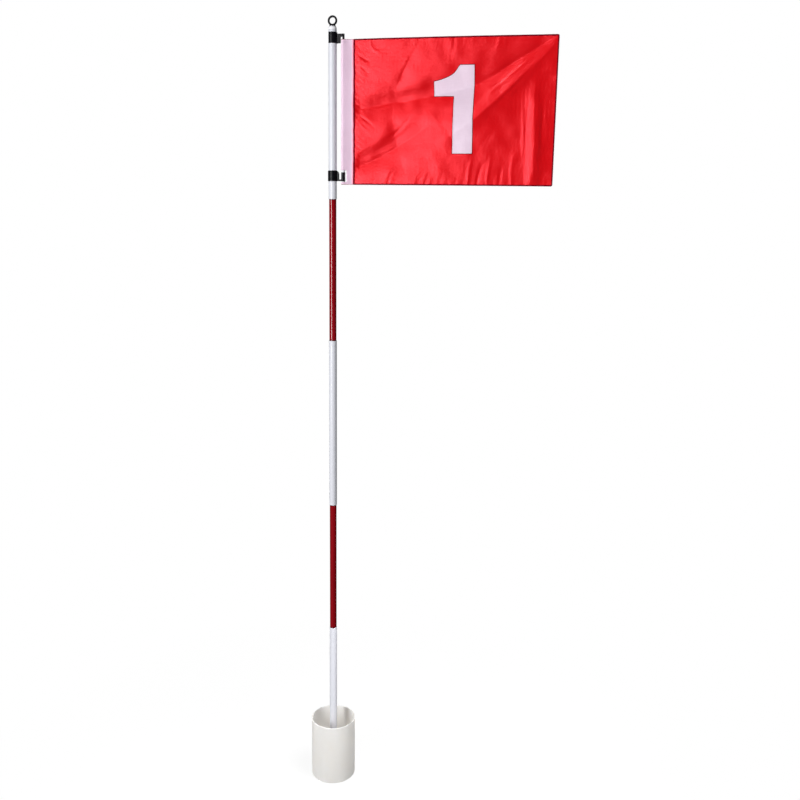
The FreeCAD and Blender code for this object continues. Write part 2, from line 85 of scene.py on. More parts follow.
def feed(tree, node, **inputs):
    """Set or link a node's inputs by name, with underscores for spaces."""
    for key, value in inputs.items():
        connect(tree, value, node.inputs[key.replace("_", " ")])


def connect(tree, value, socket):
    """Link an output socket, or set a plain value."""
    if isinstance(value, bpy.types.NodeSocket):
        tree.links.new(value, socket)
    else:
        socket.default_value = value


def maths(tree, operation, first, second=0.0):
    """One Math node's result."""
    node = tree.nodes.new("ShaderNodeMath")
    node.operation = operation
    connect(tree, first, node.inputs[0])
    connect(tree, second, node.inputs[1])
    return node.outputs[0]


def place(tree, stretch=(1.0, 1.0, 1.0)):
    """The point being shaded, in its object's frame, with each axis scaled."""
    coordinates = tree.nodes.new("ShaderNodeTexCoord")
    mapping = add(tree, "ShaderNodeMapping", Vector=coordinates.outputs["Object"])
    mapping.inputs["Scale"].default_value = stretch
    return mapping.outputs[0]


def noise(tree, scale, detail=3.0, stretch=(1.0, 1.0, 1.0), roughness=0.5):
    """A noise value between about 0 and 1; scale is in features per metre."""
    node = add(tree, "ShaderNodeTexNoise", Vector=place(tree, stretch), Scale=scale,
               Detail=detail, Roughness=roughness)
    return node.outputs["Fac"]


def between(tree, factor, low, high, at_low=0.0, at_high=1.0):
    """Map a value from one range to another, clamped."""
    node = add(tree, "ShaderNodeMapRange", Value=factor, From_Min=low, From_Max=high,
               To_Min=at_low, To_Max=at_high)
    return node.outputs[0]


def blend_colour(tree, factor, first, second):
    """Mix two colours, each a plain colour or a socket."""
    node = tree.nodes.new("ShaderNodeMix")
    node.data_type = "RGBA"
    connect(tree, factor, node.inputs["Factor"])
    connect(tree, first, node.inputs[6])
    connect(tree, second, node.inputs[7])
    return node.outputs[2]


def mix_surfaces(tree, factor, first, second):
    """Make the material's surface a mix of two shader nodes."""
    mixed = add(tree, "ShaderNodeMixShader", Fac=factor)
    tree.links.new(first.outputs[0], mixed.inputs[1])
    tree.links.new(second.outputs[0], mixed.inputs[2])
    tree.links.new(mixed.outputs[0], tree.nodes["Material Output"].inputs["Surface"])


def bump(tree, surface, height, distance, edge_round=None):
    """Give the surface a bump from a height value, and optionally softened edges."""
    node = add(tree, "ShaderNodeBump", Height=height, Distance=distance)
    if edge_round:
        rounded = add(tree, "ShaderNodeBevel", {"samples": 4}, Radius=edge_round)
        tree.links.new(rounded.outputs[0], node.inputs["Normal"])
    tree.links.new(node.outputs[0], surface.inputs["Normal"])


def rgba(red, green, blue):
    return (red, green, blue, 1.0)


# ---------------------------------------------------------------- materials

def moulded_plastic(name, colour, roughness, shine=0.5):
    """Injection-moulded plastic: faint flow colour, fine grain, small scuffs, soft edges."""
    material, tree, surface = shader(name)
    flow = noise(tree, 28.0, stretch=(1.0, 1.0, 0.35))
    darker = tuple(channel * 0.9 for channel in colour[:3]) + (1.0,)
    base = blend_colour(tree, between(tree, flow, 0.35, 0.7), colour, darker)
    scuffs = noise(tree, 220.0, 4.0, roughness=0.7)
    scuffed = between(tree, scuffs, 0.4, 0.75, roughness, roughness + 0.14)
    feed(tree, surface, Base_Color=base, Roughness=scuffed, Specular_IOR_Level=shine)
    bump(tree, surface, noise(tree, 1500.0, 2.0), 0.03 * MM, 0.4 * MM)
    return material


def cup_plastic():
    """Ivory cup plastic: thin enough to glow a little, with faint upright draw marks."""
    material, tree, surface = shader("ivory_cup_plastic")
    ivory = rgba(0.90, 0.85, 0.79)
    warmer = rgba(0.88, 0.82, 0.75)
    flow = noise(tree, 16.0, stretch=(1.0, 1.0, 0.5))
    base = blend_colour(tree, between(tree, flow, 0.35, 0.7), ivory, warmer)
    marks = noise(tree, 300.0, 3.0, stretch=(1.0, 1.0, 0.03))
    feed(tree, surface, Base_Color=base, Roughness=between(tree, marks, 0.3, 0.7, 0.45, 0.6),
         Subsurface_Weight=1.0, Subsurface_Radius=(1.0, 0.96, 0.9), Subsurface_Scale=9 * MM)
    bump(tree, surface, marks, 0.03 * MM, 0.5 * MM)
    return material


def white_tube():
    """Cool white tube, satin, with faint lengthwise rub marks."""
    material, tree, surface = shader("white_tube_plastic")
    white = rgba(0.72, 0.73, 0.79)
    rubbed = rgba(0.65, 0.66, 0.71)
    marks = noise(tree, 500.0, 4.0, stretch=(1.0, 1.0, 0.02), roughness=0.65)
    base = blend_colour(tree, between(tree, marks, 0.55, 0.8), white, rubbed)
    feed(tree, surface, Base_Color=base, Roughness=between(tree, marks, 0.3, 0.7, 0.22, 0.36))
    bump(tree, surface, noise(tree, 160.0, 2.0, stretch=(1.0, 1.0, 0.1)), 0.02 * MM, 0.3 * MM)
    return material


def red_tube(name, lowest, highest):
    """Deep red lacquer with a narrow near-black band of painted shade in the corner where the tube enters
    its neighbours.
    """
    material, tree, surface = shader(name)
    deep = rgba(0.205, 0.0015, 0.005)
    bright = rgba(0.30, 0.0024, 0.0072)
    # Painted shade: a near-black colour for the band where each white tube's end shades the red tube, 0.8
    # to 2.5 mm from each junction.
    painted_junction_shade = rgba(0.03, 0.0005, 0.001)
    streaks = noise(tree, 240.0, 3.0, stretch=(1.0, 1.0, 0.03))
    colour = blend_colour(tree, between(tree, streaks, 0.3, 0.7), deep, bright)
    height = add(tree, "ShaderNodeSeparateXYZ", Vector=place(tree)).outputs["Z"]
    painted_shade_core = 0.8 * MM
    painted_shade_end = 2.5 * MM
    for junction, inward in ((lowest, 1.0), (highest, -1.0)):
        distance = maths(tree, "MULTIPLY", maths(tree, "SUBTRACT", height, junction), inward)
        above = between(tree, distance, painted_shade_core, painted_shade_end, 1.0, 0.0)
        below = between(tree, distance, -painted_shade_end, -painted_shade_core, 0.0, 1.0)
        near = maths(tree, "MULTIPLY", above, below)
        colour = blend_colour(tree, near, colour, painted_junction_shade)
    feed(tree, surface, Base_Color=colour, Roughness=0.30, Specular_IOR_Level=0.05,
         Coat_Weight=1.0, Coat_Roughness=between(tree, streaks, 0.3, 0.8, 0.04, 0.10))
    bump(tree, surface, noise(tree, 90.0, 2.0, stretch=(1.0, 1.0, 0.2)), 0.015 * MM, 0.3 * MM)
    return material


def turned_metal():
    """Bright turned metal with fine rings from the lathe."""
    material, tree, surface = shader("turned_metal")
    rings = noise(tree, 900.0, 3.0, stretch=(0.02, 0.02, 1.0))
    base = blend_colour(tree, rings, rgba(0.60, 0.61, 0.63), rgba(0.80, 0.81, 0.83))
    feed(tree, surface, Base_Color=base, Metallic=1.0, Roughness=between(tree, rings, 0.2, 0.8, 0.18, 0.38))
    bump(tree, surface, rings, 0.04 * MM, 0.3 * MM)
    return material


def woven(name, colour, shade, gloss, gloss_colour, translucent):
    """Plain-weave polyester: crossing threads, slubs, a silky coloured gloss, some light through it."""
    material, tree, surface = shader(name)
    cloud = noise(tree, 14.0, 3.0)
    slub = noise(tree, 60.0, 4.0, stretch=(14.0, 1.0, 1.0))
    slub_across = noise(tree, 60.0, 4.0, stretch=(1.0, 1.0, 14.0))
    mottle = maths(tree, "MULTIPLY", maths(tree, "ADD", slub, slub_across), 0.5)
    factor = maths(tree, "ADD", maths(tree, "MULTIPLY", cloud, 0.5), maths(tree, "MULTIPLY", mottle, 0.5))
    base = blend_colour(tree, between(tree, factor, 0.38, 0.62), colour, shade)
    split = add(tree, "ShaderNodeSeparateXYZ", Vector=place(tree))
    weave_pitch = 0.5 * MM
    turns = math.pi / weave_pitch
    warp = maths(tree, "SINE", maths(tree, "MULTIPLY", split.outputs["X"], turns))
    weft = maths(tree, "SINE", maths(tree, "MULTIPLY", split.outputs["Z"], turns))
    over_under = maths(tree, "MULTIPLY", warp, weft)
    feed(tree, surface, Base_Color=base, Roughness=0.29, IOR=1.7, Specular_IOR_Level=gloss,
         Specular_Tint=gloss_colour)
    bump(tree, surface, maths(tree, "ADD", over_under, mottle), 0.035 * MM)
    through = add(tree, "ShaderNodeBsdfTranslucent", Color=base)
    mix_surfaces(tree, translucent, surface, through)
    return material


def thread(name, colour, dark):
    """Twisted sewing thread: two tones along the twist, with a soft sheen."""
    material, tree, surface = shader(name)
    twist = noise(tree, 900.0, 2.0)
    base = blend_colour(tree, between(tree, twist, 0.35, 0.65), colour, dark)
    feed(tree, surface, Base_Color=base, Roughness=0.7, Specular_IOR_Level=0.05)
    bump(tree, surface, twist, 0.08 * MM)
    return material


RED_CLOTH = woven("red_polyester", rgba(0.72, 0.003, 0.006), rgba(0.67, 0.002, 0.005), 1.0,
                  rgba(1.0, 0.12, 0.15), 0.04)
WHITE_CLOTH = woven("white_polyester", rgba(0.80, 0.59, 0.73), rgba(0.75, 0.55, 0.69), 0.15,
                    rgba(1.0, 1.0, 1.0), 0.14)
NUMERAL_CLOTH = woven("numeral_polyester", rgba(0.86, 0.69, 0.82), rgba(0.80, 0.63, 0.76), 0.15,
                      rgba(1.0, 1.0, 1.0), 0.04)
DARK_THREAD = thread("dark_red_thread", rgba(0.26, 0.001, 0.012), rgba(0.14, 0.0005, 0.007))
WHITE_THREAD = thread("white_thread", rgba(0.88, 0.77, 0.86), rgba(0.78, 0.66, 0.76))
PINK_THREAD = thread("pale_pink_thread", rgba(0.90, 0.40, 0.52), rgba(0.84, 0.32, 0.44))

BLACK = moulded_plastic("black_clip_plastic", rgba(0.004, 0.004, 0.006), 0.34, shine=0.18)
CAP_WHITE = moulded_plastic("white_cap_plastic", rgba(0.90, 0.90, 0.94), 0.3)
BUSH_GREY = moulded_plastic("grey_bush_plastic", rgba(0.50, 0.51, 0.53), 0.5)
CORE_WHITE = moulded_plastic("flag_tube_plastic", rgba(0.74, 0.74, 0.77), 0.42)
CUP_IVORY = cup_plastic()
TUBE_WHITE = white_tube()
METAL = turned_metal()

CAD_LOOKS = (
    (CUP_IVORY, ("cup",)),
    (METAL, ("socket_ferrule", "foot_ferrule")),
    (TUBE_WHITE, ("tube_1", "tube_3", "tube_5")),
    (BUSH_GREY, ("stop_bush_1", "stop_bush_2", "stop_bush_3", "stop_bush_4")),
    (CAP_WHITE, ("top_cap",)),
    (BLACK, ("eye_ring", "upper_clip", "lower_clip")),
    (CORE_WHITE, ("flag_tube",)),
)


def dress_cad_nodes():
    """Give every CAD node that stays its material; the red tubes know where they enter the white ones."""
    looks = {node: material for material, nodes in CAD_LOOKS for node in nodes}
    for node, below, above in (("tube_2", "tube_1", "tube_3"), ("tube_4", "tube_3", "tube_5")):
        looks[node] = red_tube("red_lacquer_" + node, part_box(below)[1].z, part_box(above)[0].z)
    for node, material in looks.items():
        for material_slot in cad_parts[node].material_slots:
            material_slot.material = material


# ---------------------------------------------------------------- mesh helpers

def make_piece(name, points, faces, material, body, slot, *stands_for):
    """A smooth mesh piece, riding on a body; the slot argument is not used."""
    mesh = bpy.data.meshes.new(name)
    mesh.from_pydata([tuple(p) for p in points], [], faces)
    mesh.validate()
    mesh.shade_smooth()
    mesh.materials.append(material)
    piece = bpy.data.objects.new(name, mesh)
    bpy.context.scene.collection.objects.link(piece)
    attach(piece, body)
    if stands_for:
        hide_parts(*stands_for)
    return piece


def grid_faces(columns, rows, start=0, flip=False):
    """Quads of a grid whose points run down each column in turn."""
    faces = []
    for i in range(columns - 1):
        for j in range(rows - 1):
            a = start + i * rows + j
            quad = (a, a + rows, a + rows + 1, a + 1)
            faces.append(quad[::-1] if flip else quad)
    return faces


def cubic_rows(values, factor):
    """Refine an array along its first axis with a smooth curve through every old row."""
    count = len(values)
    first = 2 * values[:1] - values[1:2]
    last = 2 * values[-1:] - values[-2:-1]
    padded = np.concatenate([first, values, last])
    at = np.linspace(0, count - 1, (count - 1) * factor + 1)
    low = np.minimum(at.astype(int), count - 2)
    t = (at - low).reshape((-1,) + (1,) * (values.ndim - 1))
    p0, p1, p2, p3 = (padded[low + k] for k in range(4))
    return 0.5 * (
        2 * p1 + (p2 - p0) * t + (2 * p0 - 5 * p1 + 4 * p2 - p3) * t ** 2
        + (3 * p1 - p0 - 3 * p2 + p3) * t ** 3
    )


class Sheet:
    """A surface over a flat rectangle of the flag's plane, which can be sampled at any flat place."""

    def __init__(self, points, left, right, bottom, top):
        self.points = points
        self.low = np.array((left, bottom))
        self.size = np.array((right - left, top - bottom))
        along = np.gradient(points, axis=0)
        upward = np.gradient(points, axis=1)
        normal = np.cross(along, upward)
        self.normals = normal / np.linalg.norm(normal, axis=2, keepdims=True)

    def _weigh(self, places):
        columns, rows = self.points.shape[:2]
        share = (np.asarray(places, float) - self.low) / self.size
        at = np.clip(share, 0.0, 1.0) * (columns - 1, rows - 1)
        cell = np.minimum(at.astype(int), (columns - 2, rows - 2))
        return cell[:, 0], cell[:, 1], at - cell

    def _sample(self, values, places):
        i, j, t = self._weigh(places)
        s, r = t[:, :1], t[:, 1:]
        return (
            values[i, j] * (1 - s) * (1 - r) + values[i + 1, j] * s * (1 - r)
            + values[i, j + 1] * (1 - s) * r + values[i + 1, j + 1] * s * r
        )

    def normal(self, places):
        """Unit normals towards the viewer's side."""
        sampled = self._sample(self.normals, places)
        return sampled / np.linalg.norm(sampled, axis=1, keepdims=True)

    def point(self, places, lift=0.0):
        """Points at flat places, raised towards the viewer's side by lift."""
        return self._sample(self.points, places) + self.normal(places) * lift


# ---------------------------------------------------------------- the cloth

# Folds of the flag. Each has a path in fractions of the flag's width and height from the lower hoist
# corner, then its half-width and its height towards the viewer in millimetres at each point, and
# how its crest is shaped: 2 is rounded, nearer 1 is a sharp crease.
ROUND = 2.0
CRISP = 1.15
FOLDS = (
    (((1.0, 1.0), (0.80, 0.835), (0.62, 0.69), (0.39, 0.61), (0.14, 0.555), (0.0, 0.53)),
     (4, 18, 30, 30, 26, 20), (0.0, -7.0, -11.5, -11.5, -8.0, -2.5), CRISP),
    (((0.62, 0.745), (0.45, 0.675), (0.28, 0.625), (0.10, 0.585)),
     (12, 12, 11, 9), (0.0, -1.6, -1.8, -0.8), ROUND),
    (((1.0, 0.96), (0.80, 0.69), (0.61, 0.455), (0.49, 0.34)),
     (4, 18, 30, 34), (0.0, 6.5, 9.0, 2.0), CRISP),
    (((0.0, 0.12), (0.10, 0.17), (0.20, 0.245), (0.31, 0.345), (0.42, 0.44)),
     (12, 22, 28, 28, 20), (-1.5, -7.0, -9.0, -6.5, 0.0), CRISP),
    (((0.02, 0.19), (0.12, 0.25), (0.24, 0.345), (0.36, 0.46)),
     (8, 10, 11, 10), (-0.6, -1.8, -2.0, 0.0), ROUND),
    (((0.895, 0.74), (0.90, 0.50), (0.905, 0.25), (0.90, 0.04)),
     (10, 13, 15, 13), (0.4, 4.2, 6.0, 3.6), ROUND),
    (((0.33, 0.98), (0.24, 0.75), (0.205, 0.60), (0.21, 0.35), (0.27, 0.05)),
     (14, 15, 16, 16, 14), (-0.8, -2.4, -2.8, -2.4, -0.8), CRISP),
)

# Small pressed creases and puckers, in the same form.
CREASES = (
    (((0.31, 0.95), (0.235, 0.76), (0.205, 0.58), (0.21, 0.36), (0.25, 0.12)),
     (4, 5, 5, 5, 4), (0, 0.4, 0.5, 0.4, 0)),
    (((0.01, 0.50), (0.06, 0.45), (0.13, 0.37)), (2, 3, 4), (0.2, -0.9, 0)),
    (((0.01, 0.46), (0.05, 0.40), (0.10, 0.34)), (2, 3, 4), (0.2, 0.7, 0)),
    (((0.01, 0.90), (0.05, 0.87), (0.10, 0.83)), (2, 3, 4), (0.2, -0.8, 0)),
    (((0.01, 0.84), (0.05, 0.80), (0.08, 0.75)), (2, 3, 4), (0.2, -0.7, 0)),
    (((0.08, 0.985), (0.10, 0.93), (0.16, 0.88)), (2, 3, 5), (0.2, 0.6, 0)),
    (((0.10, 0.52), (0.20, 0.56), (0.33, 0.60)), (3, 4, 5), (0, 0.6, 0)),
    (((0.14, 0.30), (0.22, 0.37), (0.31, 0.50)), (3, 4, 3), (0, -0.7, 0)),
    (((0.66, 0.60), (0.76, 0.72), (0.90, 0.89)), (4, 4, 2), (0, 0.7, 0)),
    (((0.70, 0.52), (0.82, 0.70), (0.95, 0.90)), (4, 4, 2), (0, -0.6, 0)),
    (((0.585, 0.01), (0.59, 0.09), (0.60, 0.20)), (3, 4, 5), (0.8, 0.9, 0)),
    (((0.63, 0.01), (0.64, 0.08), (0.66, 0.17)), (3, 4, 5), (-0.8, -0.9, 0)),
    (((0.68, 0.01), (0.685, 0.09), (0.70, 0.22)), (3, 4, 5), (0.8, 0.9, 0)),
    (((0.74, 0.01), (0.745, 0.07), (0.75, 0.15)), (3, 4, 5), (-0.7, -0.8, 0)),
    (((0.80, 0.01), (0.80, 0.10), (0.81, 0.24)), (3, 5, 5), (0.6, 0.7, 0)),
    (((0.845, 0.55), (0.85, 0.36), (0.855, 0.12)), (3, 4, 4), (0, 0.7, 0)),
    (((0.935, 0.60), (0.94, 0.40), (0.935, 0.12)), (3, 4, 4), (0, -0.8, 0)),
    (((0.36, 0.01), (0.37, 0.06), (0.40, 0.12)), (3, 4, 4), (0.5, 0.5, 0)),
    (((0.18, 0.01), (0.19, 0.06), (0.22, 0.12)), (3, 4, 4), (-0.6, -0.6, 0)),
    (((0.50, 0.99), (0.50, 0.93), (0.48, 0.86)), (3, 4, 4), (-0.5, -0.5, 0)),
    (((0.72, 0.99), (0.715, 0.95), (0.70, 0.90)), (3, 4, 4), (0.5, 0.5, 0)),
)
BOW = 5 * MM
CELL = 4 * MM
FINE_CELLS = 3
RUMPLES = 26

# How firmly the cloth keeps its starting place, how far its upper fly corner is pulled out, and how
# many frames it settles for.
PANEL_PIN = 0.25
TOP_HEM_PIN = 0.35
FLY_HEM_PIN = 0.12
CORNER_PULL = 3.0 * MM
SETTLE_FRAMES = 36


def smooth_path(points, pieces=8):
    """A smooth curve through a few points."""
    return cubic_rows(np.asarray(points, float), pieces)


def fold_height(across, up, path, widths, heights, crispness=ROUND):
    """Height of one fold at flat places in metres: a ridge or trough along its path."""
    flag_size = np.array((FLAG_RIGHT - SEAM, FLAG_TOP - FLAG_BOTTOM))
    line = smooth_path(path) * flag_size
    width = smooth_path(np.reshape(widths, (-1, 1)))[:, 0] * MM
    height = smooth_path(np.reshape(heights, (-1, 1)))[:, 0] * MM
    nearest = np.full(across.shape, 1e9)
    result = np.zeros(across.shape)
    for k in range(len(line) - 1):
        step = line[k + 1] - line[k]
        t = ((across - line[k, 0]) * step[0] + (up - line[k, 1]) * step[1]) / (step @ step)
        t = np.clip(t, 0.0, 1.0)
        distance = np.hypot(across - line[k, 0] - t * step[0], up - line[k, 1] - t * step[1])
        here = height[k] * (1 - t) + height[k + 1] * t
        wide = width[k] * (1 - t) + width[k + 1] * t
        closer = distance < nearest
        nearest = np.where(closer, distance, nearest)
        result = np.where(closer, here * np.exp(-((distance / wide) ** crispness)), result)
    return result


def flat_places(columns, rows):
    """Distances from the hoist seam and up from the bottom hem, over a grid of the whole panel."""
    x, z = np.meshgrid(np.linspace(FLAG_LEFT, FLAG_RIGHT, columns),
                       np.linspace(FLAG_BOTTOM, FLAG_TOP, rows), indexing="ij")
    return x - SEAM, z - FLAG_BOTTOM


def flag_grid():
    """The flag before the simulation: flat, bowed a little towards the viewer, with its folds begun."""
    columns = int(round((FLAG_RIGHT - FLAG_LEFT) / CELL)) + 1
    rows = int(round((FLAG_TOP - FLAG_BOTTOM) / CELL)) + 1
    across, up = flat_places(columns, rows)
    share = np.maximum(across, 0.0) / (FLAG_RIGHT - SEAM)
    relief = BOW * np.sin(math.pi * share ** 0.85)
    for fold in FOLDS:
        relief = relief + fold_height(across, up, *fold)
    relief = relief * np.clip(across / (12 * MM), 0.0, 1.0)
    return np.stack([across + SEAM, -relief, up + FLAG_BOTTOM], axis=2)


def drape(points, rest_points, pin_weights, grow_weights, steps):
    """Simulate the sheet as cloth from this shape, with its own rest shape; return its settled points."""
    columns, rows, _ = points.shape
    mesh = bpy.data.meshes.new("drape")
    mesh.from_pydata(points.reshape(-1, 3).tolist(), [], grid_faces(columns, rows))
    sheet = bpy.data.objects.new("drape", mesh)
    bpy.context.scene.collection.objects.link(sheet)
    sheet.shape_key_add(name="Basis")
    rest = sheet.shape_key_add(name="rest")
    rest.data.foreach_set("co", rest_points.astype(np.float32).ravel())
    for name, weights in (("pins", pin_weights), ("grow", grow_weights)):
        group = sheet.vertex_groups.new(name=name)
        for index, weight in enumerate(weights.reshape(-1)):
            if weight > 0:
                group.add([index], float(weight), "REPLACE")
    modifier = sheet.modifiers.new("Cloth", "CLOTH")
    settings = modifier.settings
    settings.quality = 8
    settings.mass = 0.1
    settings.tension_stiffness = 60
    settings.compression_stiffness = 60
    settings.shear_stiffness = 25
    settings.bending_stiffness = 0.6
    settings.tension_damping = 8
    settings.compression_damping = 8
    settings.shear_damping = 8
    settings.bending_damping = 1.0
    settings.air_damping = 3.0
    settings.effector_weights.gravity = 0.03
    settings.rest_shape_key = rest
    settings.vertex_group_mass = "pins"
    settings.pin_stiffness = 1.0
    settings.vertex_group_shrink = "grow"
    settings.shrink_min = 0.0
    settings.shrink_max = -0.004
    modifier.collision_settings.use_collision = False
    modifier.collision_settings.use_self_collision = False
    modifier.point_cache.frame_start = 1
    modifier.point_cache.frame_end = steps
    for step in range(1, steps + 1):
        bpy.context.scene.frame_set(step)
    settled = sheet.evaluated_get(bpy.context.evaluated_depsgraph_get())
    result = np.zeros(columns * rows * 3, np.float32)
    settled.data.vertices.foreach_get("co", result)
    bpy.data.objects.remove(sheet)
    bpy.data.meshes.remove(mesh)
    bpy.context.scene.frame_set(1)
    return result.reshape(points.shape).astype(float)


def seam_gathers(along, inward, pitch, depth, reach, slant):
    """Fine gathers that start at a seam and fade inwards, uneven along it."""
    knots = np.linspace(along.min(), along.max(), 24)
    strength = np.interp(along, knots, rng.uniform(0.15, 1.0, 24))
    drift = np.interp(along, knots, np.cumsum(rng.normal(0, 0.9, 24)))
    fade = np.exp(-np.maximum(inward, 0.0) / reach)
    return depth * strength * fade * np.sin(2 * math.pi * (along + slant * inward) / pitch + drift)


def small_relief(across, up):
    """Pressed creases, gathers along the four edges, and a faint all-over rumple."""
    relief = np.zeros(across.shape)
    for crease in CREASES:
        relief += fold_height(across, up, *crease)
    height = FLAG_TOP - FLAG_BOTTOM
    length = FLAG_RIGHT - SEAM
    relief += seam_gathers(up, across, pitch=13 * MM, depth=0.36 * MM, reach=11 * MM, slant=0.8)
    relief += seam_gathers(across, up, pitch=16 * MM, depth=0.34 * MM, reach=11 * MM, slant=-0.25)
    relief += seam_gathers(across, height - up, pitch=18 * MM, depth=0.22 * MM, reach=8 * MM, slant=0.3)
    relief += seam_gathers(up, length - across, pitch=20 * MM, depth=0.35 * MM, reach=10 * MM, slant=0.0)
    for _ in range(RUMPLES):
        turn = rng.uniform(0, math.pi)
        wave = rng.uniform(22, 60) * MM
        phase = rng.uniform(0, 2 * math.pi)
        run = across * math.cos(turn) + up * math.sin(turn)
        relief += 0.0016 * wave * np.sin(2 * math.pi * run / wave + phase)
    return relief * np.clip(across / (4 * MM), 0.0, 1.0)


def flag_sheet():
    """The settled flag as a fine sheet, with its small creases added."""
    points = flag_grid()
    across = points[:, :, 0] - SEAM
    up = points[:, :, 2] - FLAG_BOTTOM
    height = FLAG_TOP - FLAG_BOTTOM
    length = FLAG_RIGHT - SEAM
    pins = np.where(across < 1 * MM, 1.0, PANEL_PIN)
    corner = np.hypot(across - length, up - height)
    pins = np.maximum(pins, np.where(corner < 7 * MM, 1.0, 0.0))
    top_hem = np.where(up > height - 2 * MM, TOP_HEM_PIN, 0.0)
    fly_hem = np.where(across > length - 2 * MM, FLY_HEM_PIN, 0.0)
    pins = np.maximum(pins, np.maximum(top_hem, fly_hem))
    edge = np.minimum(np.minimum(up, height - up),
                      np.minimum(np.maximum(across, 0.0), length - across))
    grow = np.clip(edge / (14 * MM), 0.0, 1.0)
    share = np.maximum(across, 0.0) / length
    pull = CORNER_PULL * (share * up / height) ** 2
    slack = points - np.stack([0.8 * pull, np.zeros(pull.shape), 0.6 * pull], axis=2)
    points = drape(points, slack, pins, grow, SETTLE_FRAMES)
    fine = cubic_rows(points, FINE_CELLS)
    fine = cubic_rows(fine.transpose(1, 0, 2), FINE_CELLS).transpose(1, 0, 2)
    smooth = Sheet(fine, FLAG_LEFT, FLAG_RIGHT, FLAG_BOTTOM, FLAG_TOP)
    relief = small_relief(*flat_places(*fine.shape[:2]))
    creased = fine + smooth.normals * relief[:, :, None]
    return Sheet(creased, FLAG_LEFT, FLAG_RIGHT, FLAG_BOTTOM, FLAG_TOP)


def make_flag_cloth(sheet):
    """The red panel as a closed sheet with its own thickness."""
    columns, rows = sheet.points.shape[:2]
    front = (sheet.points + sheet.normals * CLOTH_HALF).reshape(-1, 3)
    back = (sheet.points - sheet.normals * CLOTH_HALF).reshape(-1, 3)
    count = columns * rows
    faces = grid_faces(columns, rows) + grid_faces(columns, rows, count, flip=True)
    ring = [i * rows for i in range(columns)]
    ring += [(columns - 1) * rows + j for j in range(1, rows)]
    ring += [i * rows + rows - 1 for i in range(columns - 2, -1, -1)]
    ring += list(range(rows - 2, 0, -1))
    for a, b in zip(ring, ring[1:] + ring[:1]):
        faces.append((b, a, a + count, b + count))
    make_piece("flag_cloth", np.concatenate([front, back]), faces, RED_CLOTH,
               "flag", "red_cloth", "flag_panel")


def rope(name, path, half_size, material, slot, *stands_for, closed=False, sections=10, pulse=None):
    """A thread-like strip along a path from rope_path, oval, with this half-width and half-height."""
    centres, outward, side = path
    half_width, half_height = half_size
    count = len(centres)
    swell = np.ones(count) if pulse is None else pulse
    angles = np.linspace(0, 2 * math.pi, sections, endpoint=False)
    points = []
    for angle in angles:
        offset = side * (math.cos(angle) * half_width) + outward * (math.sin(angle) * half_height)
        points.append(centres + offset * swell[:, None])
    points = np.stack(points, axis=1).reshape(-1, 3)
    faces = []
    for i in range(count if closed else count - 1):
        for j in range(sections):
            a = i * sections + j
            b = i * sections + (j + 1) % sections
            c = ((i + 1) % count) * sections + (j + 1) % sections
            d = ((i + 1) % count) * sections + j
            faces.append((a, b, c, d))
    if not closed:
        faces.append(tuple(range(sections))[::-1])
        faces.append(tuple(range((count - 1) * sections, count * sections)))
    make_piece(name, points, faces, material, "flag", slot, *stands_for)


def walk(corners, step, closed=False):
    """Evenly spaced flat places along straight stretches between corners."""
    places = []
    pairs = list(zip(corners, corners[1:]))
    if closed:
        pairs.append((corners[-1], corners[0]))
    for start, end in pairs:
        start, end = np.asarray(start, float), np.asarray(end, float)
        count = max(1, int(round(np.linalg.norm(end - start) / step)))
        places += [start + (end - start) * k / count for k in range(count)]
    if not closed:
        places.append(np.asarray(corners[-1], float))
    return np.array(places)


def rope_path(centres, outward, closed=False):
    """A path for a rope: its centres, its outward directions, and sideways directions square to both."""
    if closed:
        run = np.roll(centres, -1, axis=0) - np.roll(centres, 1, axis=0)
    else:
        run = np.gradient(centres, axis=0)
    side = np.cross(run, outward)
    return centres, outward, side / np.linalg.norm(side, axis=1, keepdims=True)


def stitch_pulse(count, per_stitch, depth):
    """A swelling that repeats once a stitch, as thread loops do along an overlocked edge."""
    phase = np.arange(count) * (2 * math.pi / per_stitch)
    return 1.0 + depth * np.sin(phase)


def thread_coil(name, path, half_size, pitch, radius):
    """One thread wound flat round a strip of this half-width and half-height, as overlock loops are."""
    centres = path[0]
    half_width, half_height = half_size
    travel = np.concatenate([[0.0], np.cumsum(np.linalg.norm(np.diff(centres, axis=0), axis=1))])
    turns = max(1, int(round(travel[-1] / pitch)))
    per_turn = 12
    at = np.linspace(0.0, travel[-1], turns * per_turn + 1)
    angle = 2 * math.pi * np.arange(len(at)) / per_turn
    middle, out, across = (
        np.stack([np.interp(at, travel, v[:, k]) for k in range(3)], axis=1) for v in path
    )
    offset = across * (np.cos(angle) * half_width)[:, None]
    offset += out * (np.sin(angle) * half_height)[:, None]
    line = middle + offset
    reference = across * np.cos(angle)[:, None] + out * np.sin(angle)[:, None]
    run = np.gradient(line, axis=0)
    beside = np.cross(run, reference)
    beside /= np.linalg.norm(beside, axis=1, keepdims=True)
    rope(name, (line, reference, beside), (radius, radius), DARK_THREAD, "edge_thread", sections=5)


def make_overlock(sheet):
    """Dark thread bound round the panel's bottom, fly and top edges."""
    inset = 0.9 * MM
    low, high = FLAG_BOTTOM + inset, FLAG_TOP - inset
    right = FLAG_RIGHT - inset
    corner = 1.6 * MM
    cut = corner * 0.3
    places = walk([(SEAM, low), (right - corner, low), (right - cut, low + cut), (right, low + corner),
                   (right, high - corner), (right - cut, high - cut), (right - corner, high),
                   (SEAM, high)], 1.0 * MM)
    path = rope_path(sheet.point(places), sheet.normal(places))
    rope("edge_overlock", path, (1.6 * MM, 0.62 * MM), DARK_THREAD, "edge_thread", "edge_binding")
    thread_coil("edge_overlock_loops", path, (1.7 * MM, 0.72 * MM), pitch=1.25 * MM, radius=0.26 * MM)


